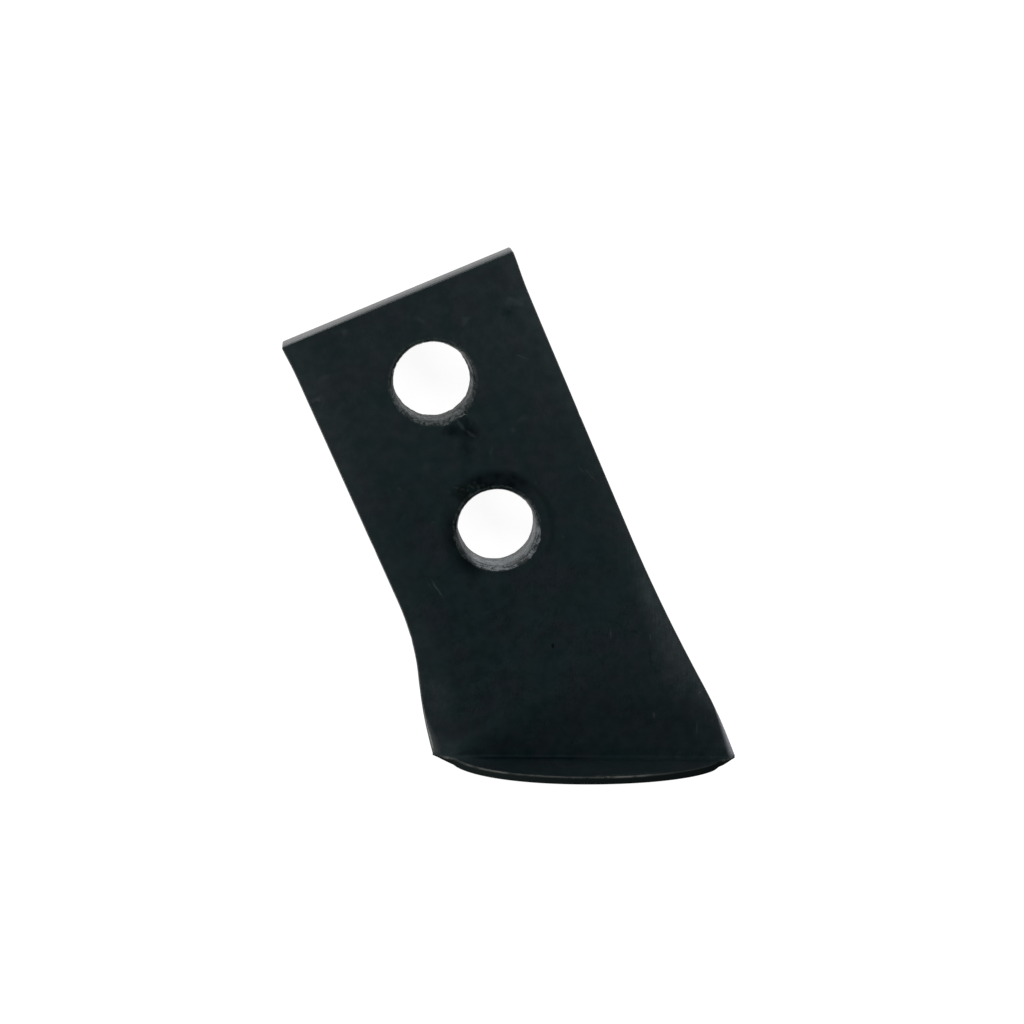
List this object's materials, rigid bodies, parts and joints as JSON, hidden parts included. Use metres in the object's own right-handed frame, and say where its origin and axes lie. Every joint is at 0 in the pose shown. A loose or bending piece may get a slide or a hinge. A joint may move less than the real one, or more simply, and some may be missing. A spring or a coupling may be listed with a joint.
{
  "type": "rotary tiller blade",
  "caption": "Flat steel blade in one piece, with bolt holes in line at one end and a low curved lip bent up along a slanting line at the other.",
  "frame": {"origin": "midway between the two bolt holes, on the shank's flat back face", "axes": "+Y along the shank towards the bolted end, +Z out of the front face, the way the lip is bent, +X towards the blade's long side"},
  "size_m": [0.0474, 0.0963, 0.0168],
  "materials": {
    "black_steel": "thin black protective coat over forged steel, semi-gloss, smudged, worn to bare grey along the lip's edge and on the sheared end face"
  },
  "bodies": {
    "root": {"tiller_blade": "black_steel"}
  },
  "joints": []
}
